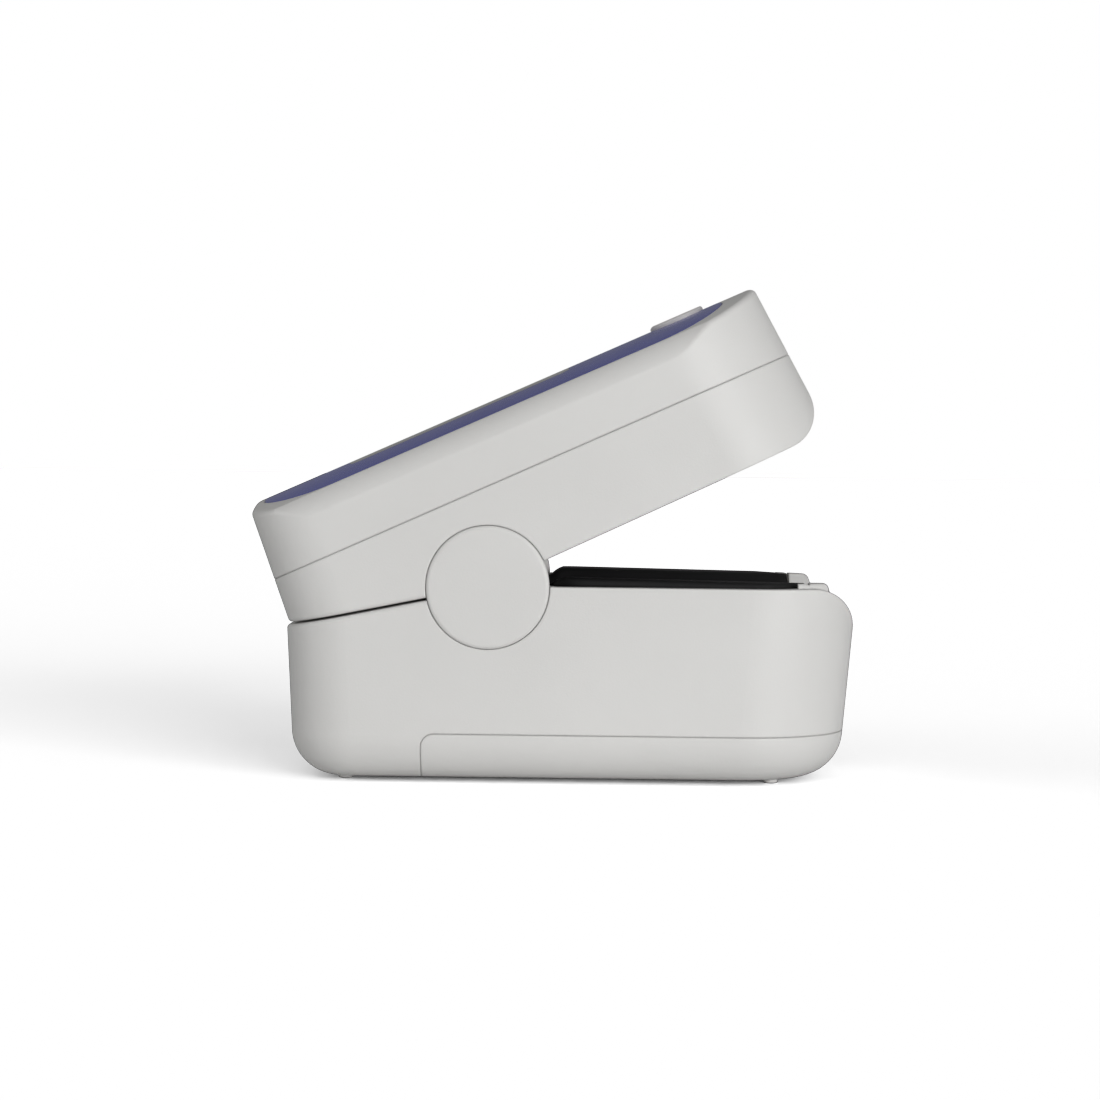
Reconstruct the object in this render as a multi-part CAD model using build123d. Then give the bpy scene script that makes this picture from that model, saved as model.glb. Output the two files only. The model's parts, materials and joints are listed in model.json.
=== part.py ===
from build123d import *
from math import radians, sqrt, tan
import os

# Fingertip pulse oximeter: two hinged half casings that clip over a finger.
# The base holds the cells and the light detector, the jaw holds the display and the light source.
# Everything is drawn closed, in a frame with the hinge axis along Y through the origin and the
# finger opening towards +X. place_base and place_jaw then carry each piece to its stored place,
# where the jaw stands open against its rear stop. Millimetres throughout, row frame +Z up.

# ---- where the hinge sits, and how far the jaw is open -------------------------------------
HINGE_X = -6.676
HINGE_Z = 20.2
OPEN_ANGLE = 25.2
FOOT_HEIGHT = 0.4

# ---- casing ---------------------------------------------------------------------------------
HALF_WIDTH = 16.5
SIDE_DRAFT = 1.5
WALL = 1.6
BASE_DEPTH = HINGE_Z - FOOT_HEIGHT      # underside of the base, below the hinge axis
BASE_REAR, BASE_REAR_DRAFT = -21.0, 3.0
BASE_FRONT, BASE_FRONT_DRAFT = 38.5, 4.7
BASE_REAR_R, BASE_NOSE_R = 6.4, 11.5    # upright corners, seen from above
BASE_EDGE_R = 4.8                       # the soft edge around the underside
BASE_LIP_R = 5.0                        # front upper corner, seen from the side
JAW_REAR, JAW_REAR_DRAFT = -20.8, 5.3
JAW_FRONT, JAW_FRONT_DRAFT = 38.9, 3.45
JAW_REAR_R, JAW_NOSE_R = 6.4, 11.5
JAW_LIP_R = 4.5                         # front lower corner, seen from the side
BASE_RIM, JAW_RIM = 0.1, 0.12           # heights of the two rims when closed
REAR_GAP = 0.13                         # half of the slit behind the hinge when fully open
BASE_DECK_ANGLE = 11.6                  # slope of the base's rear deck
JAW_DECK_ANGLE = OPEN_ANGLE - BASE_DECK_ANGLE
DECK_THICK = 1.3
DECK_EDGE_R = 0.4                       # rounding around both rear decks
CROWN_EDGE_R = 0.6                      # rounding where the crown meets the end walls

# ---- crowned top of the jaw -----------------------------------------------------------------
CROWN_Z = 17.5
CROWN_TILT = 1.05
DOME_R = 64.5
SHOULDER_Y, SHOULDER_Z = 14.6, 13.74
SHOULDER_BULGE = 0.24
CROWN_WALL = 2.3
PARTING_Z, PARTING_TILT = 9.36, 0.86
SEAM = 0.007                            # half the gap between two mouldings
GROOVE, GROOVE_DEPTH = 0.06, 0.05       # the shallow groove that a seam shows as: half width, depth
TONGUE = 0.7                            # thickness and height of the locating tongue

# ---- face plate, window and button ----------------------------------------------------------
PLATE_REAR, PLATE_FRONT = -18.2, 33.8
PLATE_HALF_WIDTH = 14.3
PLATE_CORNER_R = 8.0
PLATE_THICK = 1.0
PLATE_FIT = 0.08
WINDOW_LENGTH, WINDOW_WIDTH = 25.0, 15.0
WINDOW_X = 4.0
BUTTON_X = 29.2
BUTTON_LENGTH, BUTTON_WIDTH = 5.8, 9.4
BUTTON_PROUD = 0.45
BUTTON_FIT = 0.15
BUTTON_FLANGE = 0.8

# ---- hinge ----------------------------------------------------------------------------------
CAP_R, CAP_INNER_Y, CAP_OUTER_Y = 6.25, 15.0, 16.62
CAP_GAP = 0.05
EAR_R = 5.8
BASE_EAR_Y = (13.4, 15.0)
JAW_EAR_Y = (11.7, 13.3)
EAR_CLEAR = 0.25
PIN_R, PIN_RUNNING = 1.5, 0.05
PIN_Y = (9.7, 15.6)
SPRING_Y, SPRING_R, SPRING_WIRE = (9.95, 11.35), 2.2, 0.25
SPRING_ROOM_Y, SPRING_ROOM_R = (9.6, 11.6), 3.0
SPRING_LEG, SPRING_SLOPE = 8.5, 18.0

# ---- finger bed -----------------------------------------------------------------------------
BED_R, BED_DROP = 11.8, 6.7             # round bed, its centre this far beyond the hinge plane
BED_END_X = 10.0                        # centre of its ball-shaped inner end
PAD_THICK, TRAY_THICK = 1.3, 0.9
FLANGE_REAR, FLANGE_FRONT = 6.7, 32.6
FLANGE_REAR_R, FLANGE_NOSE_R = 3.0, 5.2
FLANGE_Y = 14.5
FLANGE_THICK = 1.0
BASE_PAD_TOP, BASE_PAD_TILT = 1.1, 0.8
PAD_TAIL = (6.5, 0.2)                   # where the base pad's ramp begins, and its height there
PAD_RAMP = (8.4, 1.3)
NOSE_BEAD = 0.6                         # raised corners of the base beside the mouth
JAW_PAD_FACE = 1.4
SENSOR_X = 17.0

# ---- cells, contacts and battery cover ------------------------------------------------------
CELL_R, CELL_LENGTH, CELL_Y = 5.25, 43.7, 5.4
CELL_NUB_R, CELL_NUB = 1.9, 0.8
CELL_FRONT = 31.4
CELL_Z = -BASE_DEPTH + WALL + 0.2 + CELL_R
CONTACT_THICK = 0.4
BULKHEAD_X = (-15.4, -14.4)
COVER_REAR, COVER_TOP = -6.65, -BASE_DEPTH + 4.85
COVER_CORNER_R = 1.3
COVER_THICK = 1.5
FOOT_R, FOOT_Y = 0.75, 9.8
FOOT_X = (-14.6, 29.4)

# ---- boards and screws ----------------------------------------------------------------------
BOARD_Z, BOARD_THICK = 10.9, 1.0
SENSOR_BOARD = (8.0, 8.0, 0.6)
SCREW_HEAD_R, SCREW_HEAD, SCREW_R, SCREW_LENGTH = 1.7, 1.2, 0.8, 7.0
JAW_SCREW_X, JAW_SCREW_Y = -13.4, 8.0
BASE_SCREW_X, BASE_SCREW_Y = (9.5, 27.0), 12.4

BIG = 120.0


# ---- helpers --------------------------------------------------------------------------------
def place_base(shape):
    return Pos(HINGE_X, 0, HINGE_Z) * shape


def place_jaw(shape):
    return Pos(HINGE_X, 0, HINGE_Z) * Rot(0, -OPEN_ANGLE, 0) * shape


def crown_frame(shape):
    """Carry a shape drawn level onto the slightly tilted crown of the jaw."""
    return Rot(0, CROWN_TILT, 0) * shape


def both_sides(shape):
    return shape + mirror(shape, about=Plane.XZ)


def left_and_right(shape):
    return shape, mirror(shape, about=Plane.XZ)


def along_y(profile, half=BIG / 4):
    """Side profile, drawn as (x, z), made solid from -half to +half in y."""
    return extrude(Plane.XZ * profile, amount=half, both=True)


def polygon(points):
    return make_face(Polyline(*points, close=True))


def block(x, y, z):
    """Box from three (low, high) pairs."""
    size = [high - low for low, high in (x, y, z)]
    centre = [(high + low) / 2 for low, high in (x, y, z)]
    return Pos(*centre) * Box(*size)


def disc_y(radius, low, high, x=0.0, z=0.0):
    """Cylinder along Y from low to high."""
    return Pos(x, (low + high) / 2, z) * Rot(90, 0, 0) * Cylinder(radius, high - low)


def rod_x(radius, low, high, y=0.0, z=0.0):
    """Cylinder along X from low to high."""
    return Pos((low + high) / 2, y, z) * Rot(0, 90, 0) * Cylinder(radius, high - low)


def post_z(radius, low, high, x=0.0, y=0.0):
    """Cylinder along Z from low to high."""
    return Pos(x, y, (low + high) / 2) * Cylinder(radius, high - low)


def above_plane(z, tilt=0.0):
    """Everything above a plane through (0, 0, z) that drops towards the front by tilt."""
    slab = Box(BIG, BIG, BIG, align=(Align.CENTER, Align.CENTER, Align.MIN))
    return Pos(0, 0, z) * Rot(0, tilt, 0) * slab


def plan_face(rear, front, half_width, rear_r, front_r):
    """Plan outline with rounded corners."""
    face = Pos((rear + front) / 2, 0) * Rectangle(front - rear, 2 * half_width)
    face = fillet(face.vertices().sort_by(Axis.X)[:2], rear_r)
    return fillet(face.vertices().sort_by(Axis.X)[-2:], front_r)


def plan_prism(face, low, high):
    return extrude(Pos(0, 0, low) * face, amount=high - low)


# ---- outer forms ----------------------------------------------------------------------------
def leaning_walls(rear, rear_draft, front, front_draft, rear_r, front_r, height, inset):
    """Upright walls that lean in with distance from the hinge plane, up to a signed height."""
    sections = []
    for level in (-height / 10, height):
        lean = level if height > 0 else -level
        face = plan_face(
            rear + lean * tan(radians(rear_draft)) + inset,
            front - lean * tan(radians(front_draft)) - inset,
            HALF_WIDTH - lean * tan(radians(SIDE_DRAFT)) - inset,
            rear_r - inset,
            front_r - inset,
        )
        sections.append(Pos(0, 0, level) * face)
    return loft(sections, ruled=True)


def jaw_walls(inset=0.0):
    return leaning_walls(
        JAW_REAR, JAW_REAR_DRAFT, JAW_FRONT, JAW_FRONT_DRAFT, JAW_REAR_R, JAW_NOSE_R, 20.0, inset
    )


def jaw_section(inset):
    """Cross-section of the jaw: upright sides, a turned shoulder and a shallow dome."""
    dome_edge = CROWN_Z - (DOME_R - sqrt(DOME_R**2 - SHOULDER_Y**2))
    wall_y = HALF_WIDTH + 1.0
    turn_y = HALF_WIDTH - SHOULDER_Z * tan(radians(SIDE_DRAFT))
    low = (turn_y - inset * 0.4, SHOULDER_Z - inset)
    high = (SHOULDER_Y - inset * 0.4, dome_edge - inset)
    across = (high[0] - low[0], high[1] - low[1])
    length = sqrt(across[0] ** 2 + across[1] ** 2)
    middle = (
        (low[0] + high[0]) / 2 + across[1] / length * SHOULDER_BULGE,
        (low[1] + high[1]) / 2 - across[0] / length * SHOULDER_BULGE,
    )
    beyond = (wall_y, low[1] - (wall_y - low[0]) / tan(radians(15)))
    left = [(-y, z) for y, z in (high, middle, low, beyond)]
    return make_face(
        [
            ThreePointArc(left[0], (0.0, CROWN_Z - inset), high),
            ThreePointArc(high, middle, low),
            Line(low, beyond),
            Line(beyond, (wall_y, -BIG / 2)),
            Line((wall_y, -BIG / 2), (-wall_y, -BIG / 2)),
            Line((-wall_y, -BIG / 2), left[3]),
            Line(left[3], left[2]),
            ThreePointArc(left[2], left[1], left[0]),
        ]
    )


def jaw_crown(inset=0.0):
    bar = extrude(Plane.YZ * jaw_section(inset), amount=BIG / 2, both=True)
    return crown_frame(bar)


def side_profile(up, front, draft, rim, lip_r, deck_angle):
    """Half plane of one casing: flat rim, rounded front lip and a rear deck that slopes away."""
    far = 40.0
    lean = tan(radians(draft))
    deck = tan(radians(deck_angle))
    lip = (front - rim * up * lean, rim)
    points = [
        (0, rim),
        lip,
        (front - far * lean, up * far),
        (-far, up * far),
        (-far, up * (far * deck + REAR_GAP)),
        (0, up * REAR_GAP),
    ]
    face = polygon(points)
    return fillet(face.vertices().sort_by_distance((lip[0], lip[1], 0))[0], lip_r)


def round_deck(form, up):
    """Round the edges of the rear deck, the sloping face behind the hinge."""
    decks = [
        face
        for face in form.faces()
        if face.normal_at().Z * up < -0.9 and face.center().X < 0 and abs(face.center().Z) < 6
    ]
    edges = [edge for face in decks for edge in face.edges() if edge.center().X < -1.0]
    return fillet(edges, DECK_EDGE_R)


def round_crown_ends(form):
    """Round the edges where the crown meets the rear wall and the nose."""
    high = [edge for edge in form.edges() if edge.center().Z > SHOULDER_Z - 0.3]
    ends = [edge for edge in high if not -18.0 < edge.center().X < 28.0]
    return fillet([edge for edge in ends if abs((edge % 0.5).X) < 0.99], CROWN_EDGE_R)


def jaw_form():
    side = side_profile(1, JAW_FRONT, JAW_FRONT_DRAFT, JAW_RIM, JAW_LIP_R, JAW_DECK_ANGLE)
    form = jaw_walls() & jaw_crown() & along_y(side)
    return round_deck(round_crown_ends(form), 1)


def base_walls(inset=0.0):
    walls = leaning_walls(
        BASE_REAR,
        BASE_REAR_DRAFT,
        BASE_FRONT,
        BASE_FRONT_DRAFT,
        BASE_REAR_R,
        BASE_NOSE_R,
        -BASE_DEPTH + inset,
        inset,
    )
    underside = walls.faces().sort_by(Axis.Z)[0]
    return fillet(underside.edges(), BASE_EDGE_R - inset)


def base_form():
    side = side_profile(-1, BASE_FRONT, BASE_FRONT_DRAFT, BASE_RIM, BASE_LIP_R, BASE_DECK_ANGLE)
    return round_deck(base_walls() & along_y(side), -1)


def cavity_side(up, deck_angle, floor):
    """Room inside a casing: open at the hinge, a deck behind it and a floor under the bed."""
    far = 40.0
    deck = tan(radians(deck_angle))
    step = -EAR_R - 0.6
    skin = REAR_GAP + DECK_THICK
    points = [
        (far, up * floor),
        (far, up * far),
        (-far, up * far),
        (-far, up * (far * deck + skin)),
        (step, up * (-step * deck + skin)),
        (step, -up * 2.0),
        (-step, -up * 2.0),
        (-step, up * floor),
    ]
    return along_y(polygon(points))


# ---- finger bed -----------------------------------------------------------------------------
def bed(up, extra):
    """Round finger bed, grown outwards by extra: a long trough with a ball-shaped inner end."""
    z = -up * BED_DROP
    return rod_x(BED_R + extra, BED_END_X, BIG, z=z) + Pos(BED_END_X, 0, z) * Sphere(BED_R + extra)


def between(face_z, up, thick, tilt):
    """Layer of the given thickness, measured from face_z into the casing."""
    low, high = sorted((face_z, face_z + up * thick))
    return above_plane(low, tilt) - above_plane(high, tilt)


def flange_face(grow=0.0):
    return plan_face(
        FLANGE_REAR - grow,
        FLANGE_FRONT + grow,
        FLANGE_Y + grow,
        FLANGE_REAR_R + grow,
        FLANGE_NOSE_R + grow,
    )


def flange(face_z, tilt, up, thick, grow=0.0):
    """Flat flange around the bed, its open face at face_z."""
    return plan_prism(flange_face(grow), -8, 8) & between(face_z, up, thick, tilt)


def bed_layer(face_z, tilt, up, thick, inner, outer, grow=0.0):
    """One skin of the finger bed: a flange and the trough that hangs from it."""
    walls = jaw_walls(WALL + 0.15) if up > 0 else base_walls(WALL + 0.15)
    trough = (bed(up, outer) - bed(up, inner)) & between(face_z, up, 9.0, tilt)
    trough = trough & block((-BIG, FLANGE_FRONT + 0.15), (-BIG, BIG), (-BIG, BIG)) & walls
    return flange(face_z, tilt, up, thick, grow) - bed(up, inner) + trough


def mouth(up):
    """Scoop through the front wall where the finger goes in."""
    return bed(up, 0.6) & block((FLANGE_FRONT - 3.0, BIG), (-BIG, BIG), (-BIG, BIG))


def pad_room(up):
    """Space for the pad and the tray that carries it."""
    trough = bed(up, PAD_THICK + TRAY_THICK + 0.1)
    trough &= block((0, FLANGE_FRONT + 0.25), (-BIG, BIG), (-BIG, BIG))
    return plan_prism(flange_face(0.25), -8, 8) + trough


def nose_lip(up, form, low, high):
    """Ledge of the casing that closes the space between the pad and the nose."""
    ring = form & block((FLANGE_REAR + 8, BIG), (-BIG, BIG), (low, high))
    ring -= pad_room(up)
    inward = (low, BIG) if up > 0 else (-BIG, high)
    collar = form & bed(up, PAD_THICK + TRAY_THICK)
    return ring + (collar & block((FLANGE_FRONT + 0.25, BIG), (-BIG, BIG), inward))


def nose_bead():
    """The base's raised corners beside the mouth, level with the pad."""
    bead = base_walls(WALL + 0.2)
    bead &= block((FLANGE_FRONT - 1.0, BIG), (-BIG, BIG), (-1.2, NOSE_BEAD))
    top = bead.faces().sort_by(Axis.Z)[-1]
    edges = [edge for edge in top.edges() if edge.center().X > FLANGE_FRONT - 0.9]
    return fillet(edges, 0.4) - pad_room(-1)


def sensor_place(up):
    return Pos(SENSOR_X, 0, up * (BED_R - BED_DROP))


def sensor_board(up, grow=0.0):
    x, y, z = [size + 2 * grow for size in SENSOR_BOARD]
    middle = up * (PAD_THICK + 0.05 - SENSOR_BOARD[2] / 2)
    return sensor_place(up) * Pos(0, 0, middle) * Box(x, y, z)


def sensor_window(up):
    """Opening through the pad in front of the light source or the detector."""
    return sensor_place(up) * Box(6.0, 4.4, 4.0)


# ---- hinge ----------------------------------------------------------------------------------
def cap_notch():
    return both_sides(disc_y(CAP_R + CAP_GAP, CAP_INNER_Y, BIG / 2))


def hinge_room(ear_y):
    """Space swept by the other casing's ear."""
    low, high = ear_y
    return both_sides(disc_y(EAR_R + EAR_CLEAR, low - 0.1, high + 0.1))


def ear(ear_y, up):
    """Round hinge ear with a web that joins it to the side wall clear of the other ear."""
    low, high = ear_y
    web = block((-EAR_R, EAR_R), (low, CAP_INNER_Y + 0.6), sorted((up * 6.6, up * 8.4)))
    leg = block((-EAR_R, EAR_R), (low, high), sorted((0, up * 8.4)))
    return both_sides(disc_y(EAR_R, low, high) + web + leg)


def spring_room():
    low, high = SPRING_ROOM_Y
    return both_sides(disc_y(SPRING_ROOM_R, low, high))


def make_hinge_pin():
    low, high = PIN_Y
    pin = disc_y(PIN_R, low, high)
    return left_and_right(chamfer(pin.edges(), 0.2))


def make_hinge_cap():
    cap = disc_y(CAP_R, CAP_INNER_Y, CAP_OUTER_Y)
    outer = cap.faces().sort_by(Axis.Y)[-1]
    cap = fillet(outer.edges(), 0.35)
    return left_and_right(cap - disc_y(PIN_R + 0.02, CAP_INNER_Y - 1, PIN_Y[1] + 0.1))


def make_torsion_spring():
    """Stored with the jaw open, both legs pointing to the rear."""
    low, high = SPRING_Y
    turns = 3
    pitch = (high - low) / turns
    coil = Helix(pitch=pitch, height=high - low, radius=SPRING_R)
    start = coil @ 0
    wire = sweep(Plane(origin=start, z_dir=coil % 0) * Circle(SPRING_WIRE), path=coil, is_frenet=True)
    coil_at_low = Pos(0, low, 0) * Rot(-90, 0, 0) * wire
    legs = []
    for up, y, swing in ((-1, low, 0.0), (1, high, -OPEN_ANGLE)):
        leg = rod_x(SPRING_WIRE, -SPRING_LEG, 0.0, y=y, z=up * SPRING_R)
        legs.append(Rot(0, swing, 0) * Rot(0, up * SPRING_SLOPE, 0) * leg)
    return left_and_right(coil_at_low + legs[0] + legs[1])


# ---- jaw --------------------------------------------------------------------------------------
def tongue_ring(low, high, inset):
    band = jaw_walls(inset) - jaw_walls(inset + TONGUE)
    return band & (above_plane(low, PARTING_TILT) - above_plane(high, PARTING_TILT))


def plate_face(grow=0.0):
    r = PLATE_CORNER_R + grow
    return plan_face(PLATE_REAR - grow, PLATE_FRONT + grow, PLATE_HALF_WIDTH + grow, r, r)


def button_face(grow=0.0):
    r = BUTTON_LENGTH / 2 + grow
    face = Pos(BUTTON_X, 0) * Rectangle(BUTTON_LENGTH + 2 * grow, BUTTON_WIDTH + 2 * grow)
    return fillet(face.vertices(), r - 0.05)


def dome(inset):
    """Everything under the dome, in the crown's own frame."""
    return extrude(Plane.YZ * jaw_section(inset), amount=BIG / 2, both=True)


def make_face_plate():
    skin = dome(0.0) - dome(PLATE_THICK)
    plate = skin & plan_prism(plate_face(), 5, 25)
    plate -= plan_prism(window_face(0.05), 5, 25)
    plate -= plan_prism(button_face(BUTTON_FIT), 5, 25)
    return crown_frame(plate)


def window_face(grow=0.0):
    face = Pos(WINDOW_X, 0) * Rectangle(WINDOW_LENGTH + 2 * grow, WINDOW_WIDTH + 2 * grow)
    return fillet(face.vertices(), 1.4 + grow)


def make_display_window():
    return crown_frame((dome(0.0) - dome(PLATE_THICK)) & plan_prism(window_face(), 5, 25))


def parting_groove():
    low, high = PARTING_Z - GROOVE, PARTING_Z + GROOVE
    band = above_plane(low, PARTING_TILT) - above_plane(high, PARTING_TILT)
    return band - jaw_walls(GROOVE_DEPTH)


def make_jaw_cover():
    cover = jaw_form() - (jaw_walls(WALL) & jaw_crown(CROWN_WALL))
    cover -= parting_groove()
    cover &= above_plane(PARTING_Z + SEAM, PARTING_TILT)
    pocket = (dome(-5.0) - dome(PLATE_THICK + 0.03)) & plan_prism(plate_face(PLATE_FIT), 5, 25)
    pocket += plan_prism(window_face(-0.6), 5, 25)
    pocket += plan_prism(button_face(BUTTON_FIT), 5, 25)
    cover -= crown_frame(pocket)
    boss = both_sides(post_z(2.3, 7.6, 20, JAW_SCREW_X, JAW_SCREW_Y))
    cover += boss & jaw_crown(CROWN_WALL - 0.4)
    return cover - both_sides(post_z(SCREW_R + 0.01, 0, 11.5, JAW_SCREW_X, JAW_SCREW_Y))


def make_jaw_frame():
    frame = jaw_form() - (jaw_walls(WALL) & cavity_side(1, JAW_DECK_ANGLE, JAW_PAD_FACE - 3.0))
    frame -= above_plane(PARTING_Z - SEAM, PARTING_TILT) + parting_groove()
    frame += nose_lip(1, jaw_form(), JAW_PAD_FACE - 0.3, JAW_PAD_FACE + FLANGE_THICK + 0.4)
    frame += tongue_ring(PARTING_Z - 1.6, PARTING_Z - SEAM - 0.1, WALL - 0.3)
    frame += tongue_ring(PARTING_Z - 0.9, PARTING_Z + TONGUE, WALL + 0.06)
    frame += bed_layer(
        JAW_PAD_FACE + FLANGE_THICK, 0, 1, TRAY_THICK, PAD_THICK, PAD_THICK + TRAY_THICK, 0.6
    ) & jaw_walls(0.5)
    frame -= cap_notch() + hinge_room(BASE_EAR_Y)
    frame += ear(JAW_EAR_Y, 1)
    frame -= both_sides(disc_y(PIN_R + PIN_RUNNING, 5, 16)) + spring_room()
    frame -= bed(1, PAD_THICK) & block((-5, FLANGE_FRONT), (-20, 20), (-9, 9))
    frame -= mouth(1)
    frame -= sensor_board(1, 0.1)
    tower = both_sides(post_z(2.6, 3, 7.5, JAW_SCREW_X, JAW_SCREW_Y))
    frame += tower & jaw_form()
    seat = jaw_screw_seat()
    frame -= both_sides(post_z(SCREW_HEAD_R + 0.1, -5, seat, JAW_SCREW_X, JAW_SCREW_Y))
    return frame - both_sides(post_z(SCREW_R + 0.05, -5, 12, JAW_SCREW_X, JAW_SCREW_Y))


def jaw_screw_seat():
    return -JAW_SCREW_X * tan(radians(JAW_DECK_ANGLE)) + REAR_GAP + 2.2


def screw(seat):
    """Pan-head screw driven upwards: seat is the height of the underside of its head."""
    head = post_z(SCREW_HEAD_R, seat - SCREW_HEAD, seat)
    head = fillet(head.edges().sort_by(Axis.Z)[0], 0.4)
    slot_z = (seat - SCREW_HEAD - 1, seat - SCREW_HEAD + 0.7)
    head -= block((-1.1, 1.1), (-0.25, 0.25), slot_z) + block((-0.25, 0.25), (-1.1, 1.1), slot_z)
    return head + post_z(SCREW_R, seat - 0.1, seat + SCREW_LENGTH - SCREW_HEAD)


def make_jaw_screws():
    return both_sides(Pos(JAW_SCREW_X, JAW_SCREW_Y, 0) * screw(jaw_screw_seat()))


def make_jaw_pad():
    pad = bed_layer(JAW_PAD_FACE, 0, 1, FLANGE_THICK, 0.0, PAD_THICK, 0.0)
    pad -= flange(JAW_PAD_FACE + FLANGE_THICK, 0, 1, 5.0, 2.0) - bed(1, PAD_THICK)
    return pad - sensor_board(1, 0.1) - sensor_window(1) - disc_y(1.5, -12, 12)


def make_display_module():
    body = block((WINDOW_X - 13.6, WINDOW_X + 13.6), (-8.6, 8.6), (12.4, 14.2))
    glass = block((WINDOW_X - 11.4, WINDOW_X + 11.4), (-6.4, 6.4), (14.1, 15.2))
    return crown_frame(body + glass)


def make_main_board():
    face = plan_face(-8.0, 34.6, 11.0, 1.5, 6.0)
    return crown_frame(plan_prism(face, BOARD_Z, BOARD_Z + BOARD_THICK))


def make_control_chip():
    return crown_frame(block((16, 23), (-3.5, 3.5), (BOARD_Z - 1.0, BOARD_Z)))


def make_display_spacer():
    return crown_frame(block((-5, 13), (-2, 2), (BOARD_Z + BOARD_THICK, 12.4)))


def make_power_button():
    """Oval key with a flange that keeps it behind the cover."""
    key = dome(-BUTTON_PROUD) & plan_prism(button_face(), 14.1, 25)
    top = key.faces().sort_by(Axis.Z)[-1]
    key = fillet(top.edges(), 0.25)
    keeper = plan_prism(button_face(BUTTON_FLANGE), 14.1, 14.8) & dome(CROWN_WALL + 0.05)
    return crown_frame(key + keeper)


def make_switch_body():
    top = 13.4
    body = block((BUTTON_X - 3, BUTTON_X + 3), (-3, 3), (BOARD_Z + BOARD_THICK, top))
    return crown_frame(body - post_z(1.55, top - 1.0, top + 1, BUTTON_X))


def make_switch_plunger():
    return crown_frame(post_z(1.5, 12.9, 14.1, BUTTON_X))


def make_emitter_board():
    return sensor_board(1)


def make_emitter_leds():
    leds = [Pos(x, 0, 0.6) * Box(1.6, 2.0, 1.0) for x in (-1.4, 1.4)]
    return sensor_place(1) * Pos(0, 0, 0.15 - 0.55) * (leds[0] + leds[1])


# ---- base -------------------------------------------------------------------------------------
def cover_region(grow=0.0):
    """Side view of the battery cover: its rear upper corner is rounded."""
    rear, top = COVER_REAR - grow, COVER_TOP + grow
    face = polygon([(rear, top), (60, top), (60, -40), (rear, -40)])
    corner = face.vertices().sort_by_distance((rear, top, 0))[0]
    return along_y(fillet(corner, COVER_CORNER_R + grow))


def cover_groove():
    return cover_region(GROOVE) - cover_region(-GROOVE) - base_walls(GROOVE_DEPTH)


def feet():
    rear, front = FOOT_X
    cone = Pos(0, 0, -BASE_DEPTH - FOOT_HEIGHT / 2 + 0.1) * Cylinder(FOOT_R, FOOT_HEIGHT + 0.2)
    cone = fillet(cone.edges().sort_by(Axis.Z)[0], 0.2)
    return [both_sides(Pos(x, FOOT_Y, 0) * cone) for x in (rear, front)]


def base_screw_seat():
    return -BASE_DEPTH + 5.1


def base_screw_spots():
    return [Pos(x, y, 0) for x in BASE_SCREW_X for y in (-BASE_SCREW_Y, BASE_SCREW_Y)]


def at_base_screws(radius, low, high):
    return Part() + [spot * post_z(radius, low, high) for spot in base_screw_spots()]


def make_base_shell():
    shell = base_form() - (base_walls(WALL) & cavity_side(-1, BASE_DECK_ANGLE, -4.0))
    bulkhead = block(BULKHEAD_X, (-15.6, 15.6), (-BASE_DEPTH + 0.8, -8.3)) & base_walls(0.8)
    shell += bulkhead
    shell += nose_lip(-1, base_form(), -1.4, BASE_RIM)
    shell += nose_bead()
    shell -= cover_region(SEAM) + cover_groove()
    shell -= cap_notch() + hinge_room(JAW_EAR_Y) + mouth(-1)
    shell += ear(BASE_EAR_Y, -1)
    shell -= both_sides(disc_y(PIN_R + 0.02, 5, 16)) + spring_room()
    seat = base_screw_seat()
    low, high = BASE_SCREW_X
    ledge = block((low - 2, low + 2), (11.0, 15.4), (seat, -10.9))
    ledge += block((high - 2, high + 2), (11.0, 15.4), (seat, -10.9))
    shell += both_sides(ledge) & base_walls(0.8)
    shell -= at_base_screws(SCREW_R + 0.05, seat - 1, -9)
    return shell + feet()[0]


def make_battery_cover():
    skin = base_form() - base_walls(COVER_THICK)
    skin &= cover_region(-SEAM)
    skin -= cover_groove()
    hook = block((COVER_REAR - 2.5, COVER_REAR + 2.5), (10.9, 12.1), (-17.8, -17.0))
    hook += block((COVER_REAR + 0.3, COVER_REAR + 2.5), (10.9, 12.1), (-18.7, -17.0))
    return skin + both_sides(hook) + feet()[1]


def cell(y):
    """AAA cell, positive end towards sign of y."""
    rear = CELL_FRONT - CELL_LENGTH
    can = rod_x(CELL_R, rear, CELL_FRONT, y, CELL_Z)
    can = fillet(can.edges().filter_by(GeomType.CIRCLE), 0.5)
    if y > 0:
        nub = rod_x(CELL_NUB_R, CELL_FRONT - 0.2, CELL_FRONT + CELL_NUB, y, CELL_Z)
    else:
        nub = rod_x(CELL_NUB_R, rear - CELL_NUB, rear + 0.2, y, CELL_Z)
    return can + nub


def make_cell_pair():
    return cell(CELL_Y), cell(-CELL_Y)


def make_front_plate():
    """Bridge that joins the two cells at the nose end."""
    plate = block((33.0, 33.0 + CONTACT_THICK), (-9.4, 9.4), (CELL_Z - 3.0, CELL_Z + 3.6))
    dimple = rod_x(2.2, CELL_FRONT + CELL_NUB, 33.2, CELL_Y, CELL_Z)
    return plate + dimple


def make_rear_plates():
    """One terminal for each cell on the bulkhead."""
    back = BULKHEAD_X[1]
    plates = []
    for y in (-CELL_Y, CELL_Y):
        face_y = (y - 4.2, y + 4.2)
        plates.append(block((back, back + CONTACT_THICK), face_y, (CELL_Z - 3.8, CELL_Z + 3.8)))
    nub_end = CELL_FRONT - CELL_LENGTH - CELL_NUB
    plates[0] += rod_x(2.2, back + 0.2, nub_end, -CELL_Y, CELL_Z)
    return plates[0] + plates[1]


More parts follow.
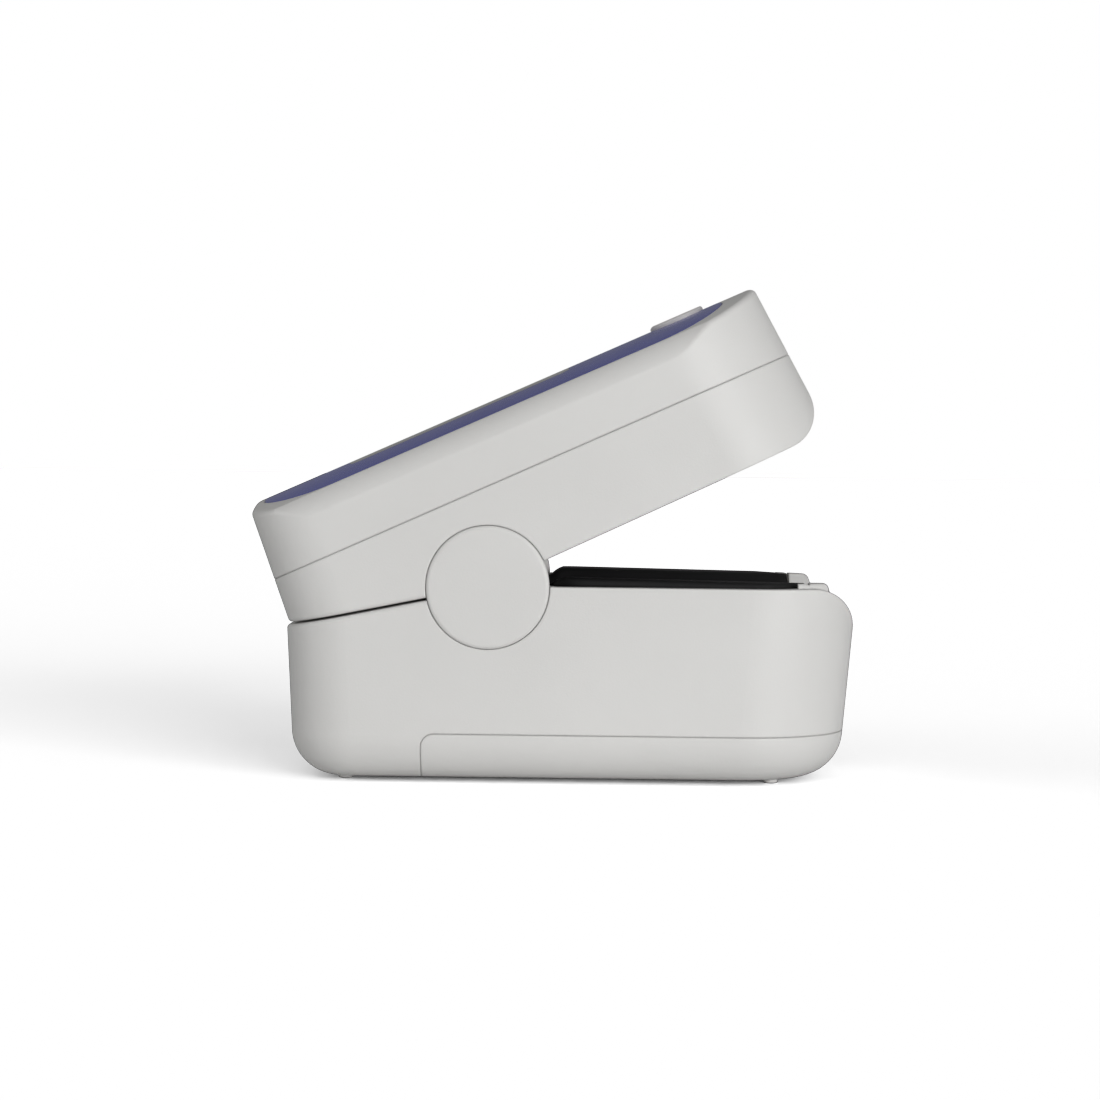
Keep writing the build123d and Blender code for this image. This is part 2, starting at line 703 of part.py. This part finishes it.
def contact_spring(low, high, y):
    """Coil that presses on the flat end of a cell."""
    height = high - low - 2 * SPRING_WIRE
    coil = Helix(pitch=height / 2, height=height, radius=3.0)
    start = Plane(origin=coil @ 0, z_dir=coil % 0)
    wire = sweep(start * Circle(SPRING_WIRE), path=coil, is_frenet=True)
    return Pos(low + SPRING_WIRE, y, CELL_Z) * Rot(0, 90, 0) * wire


def make_contact_springs():
    rear = CELL_FRONT - CELL_LENGTH
    front_coil = contact_spring(CELL_FRONT, 33.0, -CELL_Y)
    rear_coil = contact_spring(BULKHEAD_X[1] + CONTACT_THICK, rear, CELL_Y)
    return front_coil + rear_coil


def make_base_tray():
    face_z = BASE_PAD_TOP - FLANGE_THICK
    tray = bed_layer(
        face_z, BASE_PAD_TILT, -1, TRAY_THICK, PAD_THICK, PAD_THICK + TRAY_THICK, 0.25
    )
    shelf = block((-17.9, 9.0), (-10.6, 10.6), (-7.3, -6.2))
    shelf &= base_walls(WALL + 0.15)
    tray += shelf - bed(-1, PAD_THICK + TRAY_THICK - 0.3)
    tray += at_base_screws(1.7, -10.8, face_z - 0.4) - bed(-1, PAD_THICK + TRAY_THICK - 0.3)
    tray -= at_base_screws(SCREW_R + 0.01, -30, -7.5)
    return tray - (hinge_room(JAW_EAR_Y) + spring_room() + sensor_board(-1, 0.1))


def make_base_pad():
    pad = bed_layer(BASE_PAD_TOP, BASE_PAD_TILT, -1, FLANGE_THICK, 0.0, PAD_THICK, 0.1)
    tail = [(-BIG, PAD_TAIL[1]), PAD_TAIL, PAD_RAMP, (PAD_RAMP[0], 5.0), (-BIG, 5.0)]
    return pad - along_y(polygon(tail)) - sensor_board(-1, 0.1) - sensor_window(-1)


def make_base_screws():
    return Part() + [spot * screw(base_screw_seat()) for spot in base_screw_spots()]


def make_detector_board():
    return sensor_board(-1)


def make_photodiode():
    return sensor_place(-1) * Pos(0, 0, -PAD_THICK + 0.55 + 0.45) * Box(3.4, 3.0, 0.9)


def make_ribbon():
    """Flat flexible cable from the detector's tray up into the jaw, with the jaw open."""
    turn = Rot(0, -OPEN_ANGLE, 0)
    start = [(-9.0, -5.9), (-6.8, -5.85), (-4.5, -4.6), (-3.6, -2.0), (-3.5, 1.0)]
    end = [(turn * Pos(x, 0, z)).position for x, z in ((-4.2, 5.5), (-6.2, 8.4), (-8.6, 10.2))]
    flat = start + [(p.X, p.Z) for p in end]
    line = Spline(*flat)
    return along_y(trace(line, 0.3), 3.0)


JAW_PIECES = {
    "jaw_cover": make_jaw_cover,
    "face_plate": make_face_plate,
    "display_window": make_display_window,
    "display_module": make_display_module,
    "display_spacer": make_display_spacer,
    "main_board": make_main_board,
    "control_chip": make_control_chip,
    "power_button": make_power_button,
    "switch_body": make_switch_body,
    "switch_plunger": make_switch_plunger,
    "jaw_frame": make_jaw_frame,
    "jaw_screws": make_jaw_screws,
    "jaw_pad": make_jaw_pad,
    "emitter_board": make_emitter_board,
    "emitter_leds": make_emitter_leds,
}
BASE_PIECES = {
    "base_shell": make_base_shell,
    "battery_cover": make_battery_cover,
    "base_tray": make_base_tray,
    "base_screws": make_base_screws,
    "base_pad": make_base_pad,
    "detector_board": make_detector_board,
    "photodiode": make_photodiode,
    "ribbon_cable": make_ribbon,
    "contact_plate_front": make_front_plate,
    "contact_plates_rear": make_rear_plates,
    "contact_springs": make_contact_springs,
}
# Base pieces that come in a pair: the left one is at +Y, the right one mirrors it.
BASE_PAIRS = {
    "cell": make_cell_pair,
    "hinge_cap": make_hinge_cap,
    "hinge_pin": make_hinge_pin,
    "torsion_spring": make_torsion_spring,
}

os.makedirs("parts", exist_ok=True)
for name, make in JAW_PIECES.items():
    export_step(place_jaw(make()), f"parts/{name}.step")
for name, make in BASE_PIECES.items():
    export_step(place_base(make()), f"parts/{name}.step")
for name, make in BASE_PAIRS.items():
    left, right = make()
    export_step(place_base(left), f"parts/{name}_left.step")
    export_step(place_base(right), f"parts/{name}_right.step")
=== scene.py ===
import json
import math

import bmesh
import bpy
from mathutils import Matrix, Vector


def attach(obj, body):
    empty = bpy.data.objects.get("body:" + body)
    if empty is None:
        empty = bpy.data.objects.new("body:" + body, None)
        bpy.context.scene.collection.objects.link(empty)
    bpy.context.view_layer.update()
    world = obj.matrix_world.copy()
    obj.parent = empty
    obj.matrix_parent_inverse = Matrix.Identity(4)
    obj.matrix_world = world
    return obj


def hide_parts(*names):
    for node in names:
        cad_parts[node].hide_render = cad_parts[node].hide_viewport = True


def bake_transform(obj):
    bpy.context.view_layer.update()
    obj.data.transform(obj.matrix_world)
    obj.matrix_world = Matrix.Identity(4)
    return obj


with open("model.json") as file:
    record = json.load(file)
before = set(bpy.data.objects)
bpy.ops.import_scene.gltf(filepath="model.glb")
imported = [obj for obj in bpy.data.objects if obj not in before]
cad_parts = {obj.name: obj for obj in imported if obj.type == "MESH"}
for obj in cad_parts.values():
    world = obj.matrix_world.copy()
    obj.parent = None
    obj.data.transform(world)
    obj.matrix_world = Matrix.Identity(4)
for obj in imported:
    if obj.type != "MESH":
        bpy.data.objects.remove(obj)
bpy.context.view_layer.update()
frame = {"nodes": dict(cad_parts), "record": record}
NODES = frame["nodes"]
MM = 0.001

# ---- camera: low, just above the rim of the base, looking square at the side -------------------
CAMERA_PLACE = (-0.000426, -0.2765, 0.0336)
PITCH, ROLL = math.radians(2.1), math.radians(0.73)

cam_data = bpy.data.cameras.new("camera")
cam = bpy.data.objects.new("camera", cam_data)
bpy.context.collection.objects.link(cam)
cam_data.sensor_fit = "HORIZONTAL"
cam_data.sensor_width = 36.0
cam_data.lens = 84.5
cam_data.clip_start = 0.01
cam_data.clip_end = 10.0
look = Vector((0.0, math.cos(PITCH), -math.sin(PITCH)))
cam.rotation_mode = "QUATERNION"
turn = look.to_track_quat("-Z", "Y").to_matrix().to_4x4()
cam.matrix_world = Matrix.Translation(CAMERA_PLACE) @ turn @ Matrix.Rotation(ROLL, 4, "Z")
bpy.context.scene.camera = cam

# ---- floor and surroundings: white, with more light from the front than from behind ------------
FLOOR_Z = -0.00005
WHITE = (1.0, 1.0, 1.0, 1.0)
BEHIND, IN_FRONT = 0.6, -1.0
LIGHT_BEHIND, LIGHT_IN_FRONT = 0.22, 0.40

scene = bpy.context.scene
scene.view_settings.view_transform = "Standard"
bpy.ops.mesh.primitive_plane_add(size=8.0, location=(0, 0, FLOOR_Z))
floor = bpy.context.object
floor.name = "floor"
floor.is_shadow_catcher = True

world = bpy.data.worlds.new("studio")
scene.world = world
world.use_nodes = True
tree = world.node_tree
tree.nodes.clear()
coords = tree.nodes.new("ShaderNodeTexCoord")
split = tree.nodes.new("ShaderNodeSeparateXYZ")
facing = tree.nodes.new("ShaderNodeMapRange")
facing.inputs["From Min"].default_value = BEHIND
facing.inputs["From Max"].default_value = IN_FRONT
facing.inputs["To Min"].default_value = LIGHT_BEHIND
facing.inputs["To Max"].default_value = LIGHT_IN_FRONT
lit = tree.nodes.new("ShaderNodeBackground")
seen = tree.nodes.new("ShaderNodeBackground")
seen.inputs["Strength"].default_value = 1.0
paths = tree.nodes.new("ShaderNodeLightPath")
mix = tree.nodes.new("ShaderNodeMixShader")
final = tree.nodes.new("ShaderNodeOutputWorld")
tree.links.new(coords.outputs["Generated"], split.inputs["Vector"])
tree.links.new(split.outputs["Y"], facing.inputs["Value"])
tree.links.new(facing.outputs["Result"], lit.inputs["Strength"])
tree.links.new(paths.outputs["Is Camera Ray"], mix.inputs["Fac"])
tree.links.new(lit.outputs["Background"], mix.inputs[1])
tree.links.new(seen.outputs["Background"], mix.inputs[2])
tree.links.new(mix.outputs["Shader"], final.inputs["Surface"])
for node in (lit, seen):
    node.inputs["Color"].default_value = WHITE


# ---- lamps: a large soft key from the front right, a weak fill from the left -------------------
LAMP_TARGET = (0, 0, 0.02)


def area_light(name, size, power, place):
    data = bpy.data.lights.new(name, "AREA")
    data.shape = "RECTANGLE"
    data.size, data.size_y = size
    data.energy = power
    lamp = bpy.data.objects.new(name, data)
    bpy.context.collection.objects.link(lamp)
    lamp.location = place
    aim = Vector(LAMP_TARGET) - Vector(place)
    lamp.rotation_mode = "QUATERNION"
    lamp.rotation_quaternion = aim.to_track_quat("-Z", "Y")


area_light("key", (0.7, 0.5), 7.9, (0.50, -0.85, 0.14))
area_light("fill", (0.5, 0.5), 1.0, (-0.72, -0.16, 0.10))


# ---- materials ---------------------------------------------------------------------------------
RAMP_START, RAMP_STOP = 0.35, 0.65
GRAIN_STRENGTH, GRAIN_DETAIL, GRAIN_ROUGH = 0.35, 6.0, 0.6
PATCHES_TO_TONE = 6
BEVEL_SAMPLES = 6
COAT_ROUGHNESS = 0.06


def new_material(name):
    mat = bpy.data.materials.new(name)
    mat.use_nodes = True
    tree = mat.node_tree
    shader = tree.nodes["Principled BSDF"]
    return mat, tree, shader


def noise(tree, scale, detail=4.0, rough=0.5):
    coords = tree.nodes.new("ShaderNodeTexCoord")
    node = tree.nodes.new("ShaderNodeTexNoise")
    node.inputs["Scale"].default_value = scale
    node.inputs["Detail"].default_value = detail
    node.inputs["Roughness"].default_value = rough
    tree.links.new(coords.outputs["Object"], node.inputs["Vector"])
    return node.outputs["Fac"]


def ramp(tree, fac, low, high):
    node = tree.nodes.new("ShaderNodeValToRGB")
    node.color_ramp.elements[0].position = RAMP_START
    node.color_ramp.elements[1].position = RAMP_STOP
    node.color_ramp.elements[0].color = (*low, 1)
    node.color_ramp.elements[1].color = (*high, 1)
    tree.links.new(fac, node.inputs["Fac"])
    return node.outputs["Color"]


def span(tree, fac, low, high):
    node = tree.nodes.new("ShaderNodeMapRange")
    node.inputs["To Min"].default_value = low
    node.inputs["To Max"].default_value = high
    tree.links.new(fac, node.inputs["Value"])
    return node.outputs["Result"]


def bump(tree, shader, height, distance, edge):
    """Grain of the given depth; edge is the radius that softens the solid's sharp edges."""
    node = tree.nodes.new("ShaderNodeBump")
    node.inputs["Strength"].default_value = GRAIN_STRENGTH
    node.inputs["Distance"].default_value = distance
    tree.links.new(height, node.inputs["Height"])
    if edge:
        soft = tree.nodes.new("ShaderNodeBevel")
        soft.samples = BEVEL_SAMPLES
        soft.inputs["Radius"].default_value = edge
        tree.links.new(soft.outputs["Normal"], node.inputs["Normal"])
    tree.links.new(node.outputs["Normal"], shader.inputs["Normal"])


def shade(name, dark, light, rough, grain, depth,
          edge=0.0, metallic=0.0, coat=0.0, tone=40.0, shine=0.5):
    """Colour drifts between dark and light, roughness between two values, over a fine grain.

    grain and tone are noise scales, depth and edge are in metres.
    """
    mat, tree, shader = new_material(name)
    tree.links.new(ramp(tree, noise(tree, tone), dark, light), shader.inputs["Base Color"])
    patches = noise(tree, tone * PATCHES_TO_TONE)
    tree.links.new(span(tree, patches, *rough), shader.inputs["Roughness"])
    bump(tree, shader, noise(tree, grain, GRAIN_DETAIL, GRAIN_ROUGH), depth, edge)
    shader.inputs["Metallic"].default_value = metallic
    shader.inputs["Specular IOR Level"].default_value = shine
    shader.inputs["Coat Weight"].default_value = coat
    shader.inputs["Coat Roughness"].default_value = COAT_ROUGHNESS
    return mat


# ---- frames of the two halves ------------------------------------------------------------------
HINGE = Vector((-6.676, 0.0, 20.2))
OPEN = math.radians(25.2)


def in_base(x, y, z):
    """A point drawn closed, in millimetres from the hinge, as a place on the base, in metres."""
    return (HINGE + Vector((x, y, z))) * MM


def in_jaw(x, y, z):
    """The same for the jaw, which stands open."""
    return (HINGE + Matrix.Rotation(-OPEN, 3, "Y") @ Vector((x, y, z))) * MM


def new_piece(name, verts, faces):
    mesh = bpy.data.meshes.new(name)
    mesh.from_pydata([tuple(v) for v in verts], [], faces)
    piece = bpy.data.objects.new(name, mesh)
    bpy.context.collection.objects.link(piece)
    return piece


def sleeve(rings, per):
    """Faces between rings of per points each, with both ends closed."""
    faces = []
    for i in range(rings - 1):
        for k in range(per):
            n = (k + 1) % per
            faces.append((i * per + k, i * per + n, (i + 1) * per + n, (i + 1) * per + k))
    faces.append(tuple(reversed(range(per))))
    faces.append(tuple(range((rings - 1) * per, rings * per)))
    return faces


# ---- moulded silicone pads, in millimetres from the hinge --------------------------------------
# The bed is a trough of radius BED_R, its axis BED_DROP off the hinge's plane. It ends in half
# a ball at BED_END. A flat flange runs round it.
BED_R, BED_DROP, BED_END = 11.8, 6.7, 10.0
BED_STEPS = 12
PAD_BACK_R = BED_R + 1.3
PAD_THICK = 1.0
FLANGE_Y, FLANGE_FRONT, FLANGE_REAR = 14.55, 32.65, 6.65
NOSE_R, REAR_R = 5.25, 3.0
# The rolled edge between bed and flange, and the small round at the rim of the flange.
ROLL_INSET, ROLL_REACH, ROLL_WIDTH = 0.35, 0.75, 0.95
ROLL_STEPS = (0.35, 0.7)
RIM_ROUND = ((0.35, 0.0), (0.12, 0.09), (0.0, 0.34))
RIM_CHAMFER, ROOT_EASE = 0.15, 0.05
LIP = BED_STEPS + len(ROLL_STEPS)
END_DEPTH = 0.2
# The rear end of the base pad ramps down to TAIL_Z over RAMP.
TAIL_X, TAIL_Z, RAMP = 6.4, 0.15, 2.1
TAIL_THICK = 0.1
TILTED_DEPTH = 1.2
SIDE_STEPS, TURN_STEPS = 26, 96
REACH_STEP, REACH_STEPS = 0.01, 600
WELD, SLIVER = 2e-6, 1e-7


def tail(x, top):
    """Height of the pad over its ramped rear end."""
    t = min(1.0, max(0.0, (x - TAIL_X) / RAMP))
    return TAIL_Z + (top - TAIL_Z) * (1 - (1 - t) ** 2)


def nose_x(half):
    """Front edge of the pad at a distance half from the middle."""
    over = max(0.0, half - (FLANGE_Y - NOSE_R))
    return FLANGE_FRONT - (NOSE_R - math.sqrt(max(0.0, NOSE_R**2 - over**2)))


def rear_reach(angle, inner_r):
    """Distance from the bed's round end to the pad's outline, in a direction behind it."""
    corner_x, corner_y = FLANGE_REAR + REAR_R, FLANGE_Y - REAR_R
    best = inner_r
    for step in range(REACH_STEPS):
        reach = inner_r + step * REACH_STEP
        x, y = BED_END + reach * math.cos(angle), abs(reach * math.sin(angle))
        inside = x >= FLANGE_REAR and y <= FLANGE_Y
        if x < corner_x and y > corner_y:
            inside = math.hypot(x - corner_x, y - corner_y) <= REAR_R
        if inside:
            best = reach
    return best


def pad_profile(top):
    """Closed cross-section, centre to rim over the face and back underneath: (half width, z)."""
    mouth = math.sqrt(BED_R**2 - (BED_DROP - top) ** 2)
    root = math.sqrt(PAD_BACK_R**2 - (BED_DROP - top + PAD_THICK) ** 2)
    face = []
    for i in range(BED_STEPS + 1):
        r = (mouth - ROLL_INSET) * i / BED_STEPS
        face.append((r, BED_DROP - math.sqrt(BED_R**2 - r * r)))
    edge_r, edge_z = face[-1]
    for t in ROLL_STEPS:
        face.append((edge_r + ROLL_REACH * t, edge_z + (top - edge_z) * (1 - (1 - t) ** 2)))
    face.append((edge_r + ROLL_WIDTH, top))
    for inset, drop in RIM_ROUND:
        face.append((FLANGE_Y - inset, top - drop))
    floor_z = top - PAD_THICK
    under = [(FLANGE_Y, floor_z + RIM_CHAMFER), (FLANGE_Y - RIM_CHAMFER, floor_z)]
    under.append((root + ROOT_EASE, floor_z))
    count = len(face) - len(under)
    for i in range(count):
        r = root * (1 - i / (count - 1))
        under.append((r, BED_DROP - math.sqrt(PAD_BACK_R**2 - r * r)))
    return face, under


def pad_stations():
    """Cross-sections along one side, round the rear end and back along the other side."""
    stations = [("side", 1, i / SIDE_STEPS) for i in range(SIDE_STEPS)]
    for i in range(TURN_STEPS + 1):
        stations.append(("turn", 0, math.pi / 2 + math.pi * i / TURN_STEPS))
    for i in range(SIDE_STEPS, 0, -1):
        stations.append(("side", -1, (i - 1) / SIDE_STEPS))
    return stations


def make_pad(name, top, up, place, tilt):
    """Pad with its flange at top; up is -1 for the base, 1 for the jaw; tilt is in degrees."""
    end_r = math.sqrt(PAD_BACK_R**2 - (BED_DROP - top + END_DEPTH) ** 2)
    slope = math.tan(math.radians(tilt))
    face, under = pad_profile(top)
    ring = face + under
    per = len(ring)
    lip = face[LIP][0]
    stations = pad_stations()
    verts, faces = [], []
    for kind, side, value in stations:
        if kind == "turn":
            stretch = rear_reach(value, end_r) - lip
        for k, (r, z) in enumerate(ring):
            if kind == "turn":
                if r > lip:
                    r = lip + (r - lip) * stretch / (FLANGE_Y - lip)
                x, y = BED_END + r * math.cos(value), r * math.sin(value)
            else:
                front = nose_x(r)
                x, y = front + (BED_END - front) * value, side * r
            if z > top - TILTED_DEPTH:
                z -= slope * x
            if up < 0 and x < TAIL_X + RAMP:
                z = min(z, tail(x, top) - (TAIL_THICK if k >= len(face) else 0.0))
            verts.append(place(x, y, -up * z))
    for i in range(len(stations) - 1):
        for j in range(per - 1):
            a, b = i * per + j, i * per + j + 1
            faces.append((a, b, b + per, a + per) if up < 0 else (a, a + per, b + per, b))
    for start in (0, (len(stations) - 1) * per):
        end = start + per - 1
        for j in range(per // 2 - 1):
            faces.append((start + j, start + j + 1, end - 1 - j, end - j))
    piece = new_piece(name, verts, faces)
    mesh = piece.data
    work = bmesh.new()
    work.from_mesh(mesh)
    bmesh.ops.remove_doubles(work, verts=work.verts, dist=WELD)
    bmesh.ops.dissolve_degenerate(work, edges=work.edges, dist=SLIVER)
    bmesh.ops.recalc_face_normals(work, faces=work.faces)
    work.to_mesh(mesh)
    work.free()
    mesh.shade_smooth()
    return piece


# ---- torsion springs ---------------------------------------------------------------------------
WIRE_R, WIRE_SIDES = 0.25, 12
COIL_R, COIL_STEPS, WHOLE_TURNS = 2.2, 90, 3
COIL_LOW_Y, COIL_HIGH_Y = 9.95, 11.35
LEG_SLOPE = math.radians(18.0)
LEG = (1.0, 3.0, 6.0, 8.5)


def tube(name, points, radius):
    """Round wire through the points, closed at both ends."""
    points = [Vector(p) for p in points]
    verts = []
    normal = None
    for i, p in enumerate(points):
        before, after = points[max(i - 1, 0)], points[min(i + 1, len(points) - 1)]
        along = (after - before).normalized()
        normal = along.orthogonal() if normal is None else normal - along * normal.dot(along)
        normal.normalize()
        side = along.cross(normal)
        for k in range(WIRE_SIDES):
            a = 2 * math.pi * k / WIRE_SIDES
            verts.append(p + (normal * math.cos(a) + side * math.sin(a)) * radius)
    piece = new_piece(name, verts, sleeve(len(points), WIRE_SIDES))
    piece.data.shade_smooth()
    return piece


def torsion_spring(name, side):
    """Turns round the pin, one leg on the base and one on the jaw, both to the rear."""
    start = math.radians(270) + LEG_SLOPE
    stop = math.radians(90 + 360 * WHOLE_TURNS) - LEG_SLOPE + OPEN
    points = []
    for t in reversed(LEG):
        x = COIL_R * math.cos(start) - t * math.cos(LEG_SLOPE)
        z = COIL_R * math.sin(start) - t * math.sin(LEG_SLOPE)
        points.append(in_base(x, side * COIL_LOW_Y, z))
    for i in range(COIL_STEPS + 1):
        a = start + (stop - start) * i / COIL_STEPS
        y = COIL_LOW_Y + (COIL_HIGH_Y - COIL_LOW_Y) * i / COIL_STEPS
        points.append(in_base(COIL_R * math.cos(a), side * y, COIL_R * math.sin(a)))
    for t in LEG:
        x = COIL_R * math.sin(LEG_SLOPE) - t * math.cos(LEG_SLOPE)
        z = COIL_R * math.cos(LEG_SLOPE) + t * math.sin(LEG_SLOPE)
        points.append(in_jaw(x, side * COIL_HIGH_Y, z))
    piece = tube(name, points, WIRE_R * MM)
    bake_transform(piece)
    return piece


# ---- ribbon cable ------------------------------------------------------------------------------
RIBBON_HALF, RIBBON_ACROSS, RIBBON_STEPS = 3.0, 9, 8
FILM_HALF, RIDGE_HALF = 0.06, 0.09


def curve_through(route):
    """Catmull-Rom curve through the points of the route."""
    fine = []
    for i in range(len(route) - 1):
        p0, p1 = route[max(i - 1, 0)], route[i]
        p2, p3 = route[i + 1], route[min(i + 2, len(route) - 1)]
        for k in range(RIBBON_STEPS):
            t = k / RIBBON_STEPS
            a = 2 * p1 + (p2 - p0) * t
            b = (2 * p0 - 5 * p1 + 4 * p2 - p3) * t * t
            c = (3 * p1 - p0 - 3 * p2 + p3) * t**3
            fine.append((a + b + c) / 2)
    fine.append(route[-1])
    return fine


def ribbon(name):
    """Flat flexible cable from the detector up into the jaw, ridged along one face."""
    route = [in_base(-9.0, 0, -5.9), in_base(-6.8, 0, -5.85), in_base(-4.5, 0, -4.6)]
    route += [in_base(-3.6, 0, -2.0), in_base(-3.5, 0, 1.0)]
    route += [in_jaw(-4.2, 0, 5.5), in_jaw(-6.2, 0, 8.4), in_jaw(-8.6, 0, 10.2)]
    fine = curve_through(route)
    width = 2 * RIBBON_HALF
    offsets = [(-RIBBON_HALF + width * k / (RIBBON_ACROSS - 1)) * MM for k in range(RIBBON_ACROSS)]
    verts = []
    for i, p in enumerate(fine):
        along = (fine[min(i + 1, len(fine) - 1)] - fine[max(i - 1, 0)]).normalized()
        out = along.cross(Vector((0, 1, 0)))
        for k, y in enumerate(offsets):
            half = RIDGE_HALF if k % 2 else FILM_HALF
            verts.append(p + Vector((0, y, 0)) + out * half * MM)
        for y in reversed(offsets):
            verts.append(p + Vector((0, y, 0)) - out * FILM_HALF * MM)
    piece = new_piece(name, verts, sleeve(len(fine), 2 * RIBBON_ACROSS))
    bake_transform(piece)
    return piece


# ---- finishes: dark, light, roughness range, grain scale, grain depth --------------------------
MATERIALS = {
    "white_abs": shade(
        "white_abs", (0.66, 0.655, 0.64), (0.69, 0.685, 0.67), (0.42, 0.52), 5200, 0.00004,
        edge=0.0003,
    ),
    "blue_gloss": shade(
        "blue_gloss", (0.028, 0.042, 0.34), (0.036, 0.052, 0.39), (0.2, 0.28), 900, 0.000004,
        edge=0.0002, coat=0.1, shine=0.4,
    ),
    "display_glass": shade(
        "display_glass", (0.004, 0.004, 0.006), (0.007, 0.007, 0.010), (0.05, 0.09), 700,
        0.000002, coat=0.8,
    ),
    "button_plastic": shade(
        "button_plastic", (0.62, 0.60, 0.59), (0.66, 0.64, 0.63), (0.38, 0.46), 4800, 0.00003,
        edge=0.0002,
    ),
    "display_dark": shade(
        "display_dark", (0.01, 0.01, 0.012), (0.02, 0.02, 0.024), (0.1, 0.2), 900, 0.00001
    ),
    "inner_plastic": shade(
        "inner_plastic", (0.56, 0.56, 0.54), (0.6, 0.6, 0.58), (0.5, 0.6), 4000, 0.00004
    ),
    "board_green": shade(
        "board_green", (0.01, 0.09, 0.04), (0.015, 0.13, 0.06), (0.3, 0.4), 2500, 0.00003
    ),
    "chip_black": shade(
        "chip_black", (0.015, 0.015, 0.016), (0.025, 0.025, 0.026), (0.5, 0.65), 6000, 0.00003
    ),
    "switch_steel": shade(
        "switch_steel", (0.5, 0.5, 0.5), (0.6, 0.6, 0.6), (0.25, 0.4), 3000, 0.00002,
        metallic=1.0,
    ),
    "screw_steel": shade(
        "screw_steel", (0.42, 0.42, 0.43), (0.56, 0.56, 0.56), (0.28, 0.42), 3500, 0.00003,
        edge=0.0002, metallic=1.0,
    ),
    "black_silicone": shade(
        "black_silicone", (0.005, 0.005, 0.0055), (0.008, 0.008, 0.0085), (0.6, 0.75), 4500,
        0.00005, edge=0.0003, shine=0.25,
    ),
    "led_clear": shade(
        "led_clear", (0.6, 0.55, 0.42), (0.7, 0.66, 0.52), (0.1, 0.2), 1500, 0.00002
    ),
    "ribbon_film": shade(
        "ribbon_film", (0.30, 0.12, 0.02), (0.36, 0.16, 0.03), (0.25, 0.35), 1200, 0.00002
    ),
    "contact_nickel": shade(
        "contact_nickel", (0.55, 0.53, 0.48), (0.66, 0.64, 0.6), (0.22, 0.38), 3000, 0.00002,
        metallic=1.0,
    ),
    "spring_steel": shade(
        "spring_steel", (0.42, 0.42, 0.42), (0.52, 0.52, 0.52), (0.25, 0.35), 3500, 0.00002,
        metallic=1.0,
    ),
    "cell_wrap": shade(
        "cell_wrap", (0.02, 0.06, 0.10), (0.03, 0.09, 0.14), (0.25, 0.35), 900, 0.00001
    ),
    "pin_steel": shade(
        "pin_steel", (0.5, 0.5, 0.5), (0.6, 0.6, 0.6), (0.2, 0.3), 3000, 0.00002, metallic=1.0
    ),
    "floor": shade(
        "floor_paint", (0.80, 0.80, 0.80), (0.82, 0.82, 0.82), (0.6, 0.7), 300, 0.00005,
        tone=3.0,
    ),
}
floor.data.materials.append(MATERIALS["floor"])
for entry in frame["record"]["subparts"]:
    for material_slot in NODES[entry["node"]].material_slots:
        material_slot.material = MATERIALS[entry["material_slot"]]


def finish_piece(piece, material, *nodes):
    piece.data.materials.append(MATERIALS[material])
    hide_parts(*nodes)


# ---- pieces made here in place of CAD nodes ----------------------------------------------------
base_bed = make_pad("finger_pad_base", 1.05, -1, in_base, 0.8)
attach(base_bed, "base")
finish_piece(base_bed, "black_silicone", "base_pad")
jaw_bed = make_pad("finger_pad_jaw", -1.4, 1, in_jaw, 0.0)
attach(jaw_bed, "jaw")
finish_piece(jaw_bed, "black_silicone", "jaw_pad")
finish_piece(torsion_spring("spring_wire_left", 1), "spring_steel", "torsion_spring_left")
finish_piece(torsion_spring("spring_wire_right", -1), "spring_steel", "torsion_spring_right")
finish_piece(ribbon("flex_cable"), "ribbon_film", "ribbon_cable")
